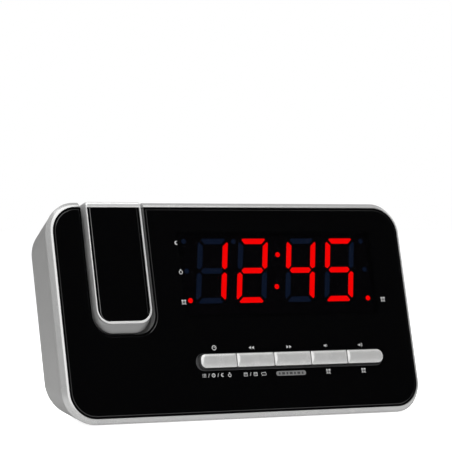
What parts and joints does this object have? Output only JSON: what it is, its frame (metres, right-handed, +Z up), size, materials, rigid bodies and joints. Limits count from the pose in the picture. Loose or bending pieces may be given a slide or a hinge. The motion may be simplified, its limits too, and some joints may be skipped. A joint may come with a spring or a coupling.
{
  "type": "projection alarm clock",
  "caption": "Leaning bedside alarm clock with a red LED display, a row of front keys and a projector that swings out of a slot to throw the time on a ceiling or wall.",
  "frame": {"origin": "middle of the clock's footprint, on the surface that it stands on", "axes": "+X to the right as the display is read, +Y to the back, +Z up"},
  "size_m": [0.1874, 0.0526, 0.0991],
  "materials": {
    "silver_body": "satin silver paint on moulded plastic",
    "silver_gloss": "glossy silver plating",
    "panel_black": "high-gloss black acrylic",
    "bay_silver": "satin silver paint",
    "trim_grey": "dark grey gloss",
    "black_plastic": "fine-grained matt black",
    "led_red": "glowing red diffuser",
    "led_dark": "unlit blue-grey diffuser",
    "metal_steel": "bright steel",
    "metal_gold": "gold-plated contacts",
    "board_green": "green solder mask",
    "chip_black": "moulded epoxy",
    "ivory_plastic": "moulded nylon",
    "rubber_black": "matt rubber",
    "key_silver": "satin silver paint",
    "lead_black": "PVC insulation",
    "lead_red": "PVC insulation",
    "cone_paper": "treated paper",
    "aluminium": "plain aluminium",
    "clear_glass": "polished glass",
    "slide_glass": "masked glass",
    "lamp_epoxy": "clear epoxy",
    "cover_silver": "moulded silver-grey plastic",
    "capacitor_blue": "shrink sleeve",
    "ribbon_grey": "flat cable"
  },
  "bodies": {
    "cabinet": {"front_bezel": "silver_body", "main_housing": "silver_body", "back_cover": "cover_silver", "front_panel": "panel_black", "projector_bay": "bay_silver", "key_trim": "trim_grey", "display_block": "black_plastic", "lit_segments": "led_red", "dark_segments": "led_dark", "display_pins": "metal_gold", "main_board": "board_green", "clock_chip": "chip_black", "small_chips": "chip_black", "crystal": "metal_steel", "capacitors": "capacitor_blue", "board_connectors": "ivory_plastic", "key_board": "board_green", "tact_switches": "chip_black", "key_ribbon": "ribbon_grey", "inner_screws": "metal_steel", "speaker_basket": "black_plastic", "speaker_cone": "cone_paper", "speaker_magnet": "metal_steel", "speaker_clamps": "metal_steel", "speaker_lead": "lead_red", "dc_jack": "black_plastic", "dc_jack_nut": "metal_steel", "power_lead": "lead_black", "antenna_grommet": "rubber_black", "battery_tray": "ivory_plastic", "coin_cell": "metal_steel", "battery_contacts": "metal_gold", "rubber_feet": "rubber_black", "cover_screws": "metal_steel", "hinge_bushes": "ivory_plastic", "projector_lead": "lead_black"},
    "battery_door": {"battery_door": "cover_silver"},
    "projector": {"projector_frame": "silver_gloss", "projector_shell": "bay_silver", "projector_window": "panel_black", "hinge_pins": "metal_steel", "hinge_washers": "rubber_black", "light_tube": "black_plastic", "lamp_board": "board_green", "projection_lamp": "lamp_epoxy", "heat_spreader": "aluminium", "condenser_lens": "clear_glass", "time_slide": "slide_glass", "projector_screws": "metal_steel"},
    "focus_wheel": {"focus_wheel": "black_plastic"},
    "lens_cell": {"lens_cell": "black_plastic", "projection_lens": "clear_glass", "lens_clip": "black_plastic"},
    "clock_key": {"clock_key": "key_silver"},
    "rewind_key": {"rewind_key": "key_silver"},
    "forward_key": {"forward_key": "key_silver"},
    "quieter_key": {"quieter_key": "key_silver"},
    "louder_key": {"louder_key": "key_silver"}
  },
  "joints": [
    {"name": "projector_swing", "type": "hinge", "parent": "cabinet", "child": "projector", "pos_m": [-0.0606, 0.0041, 0.08636], "axis": [-1, 0, 0], "range_deg": [0, 90]},
    {"name": "focus_turn", "type": "hinge", "parent": "projector", "child": "focus_wheel", "pos_m": [-0.0606, 0.0056, 0.09115], "axis": [0, 0.2402, 0.9707], "range_deg": [-62, 62]},
    {"name": "focus_slide", "type": "slide", "parent": "projector", "child": "lens_cell", "axis": [0, 0.2402, 0.9707], "range_m": [-0.00075, 0.00075]},
    {"name": "battery_door_slide", "type": "slide", "parent": "cabinet", "child": "battery_door", "axis": [1, 0, 0], "range_m": [0, 0.028]},
    {"name": "clock_key_press", "type": "slide", "parent": "cabinet", "child": "clock_key", "axis": [0, 0.9707, -0.2402], "range_m": [0, 0.0006], "stiffness_N_per_m": 900, "springref_m": -0.0009},
    {"name": "rewind_key_press", "type": "slide", "parent": "cabinet", "child": "rewind_key", "axis": [0, 0.9707, -0.2402], "range_m": [0, 0.0006], "stiffness_N_per_m": 900, "springref_m": -0.0009},
    {"name": "forward_key_press", "type": "slide", "parent": "cabinet", "child": "forward_key", "axis": [0, 0.9707, -0.2402], "range_m": [0, 0.0006], "stiffness_N_per_m": 900, "springref_m": -0.0009},
    {"name": "quieter_key_press", "type": "slide", "parent": "cabinet", "child": "quieter_key", "axis": [0, 0.9707, -0.2402], "range_m": [0, 0.0006], "stiffness_N_per_m": 900, "springref_m": -0.0009},
    {"name": "louder_key_press", "type": "slide", "parent": "cabinet", "child": "louder_key", "axis": [0, 0.9707, -0.2402], "range_m": [0, 0.0006], "stiffness_N_per_m": 900, "springref_m": -0.0009}
  ],
  "couplings": [
    {"joint": "focus_turn", "follows": "focus_slide", "rad_per_m": 1390}
  ]
}
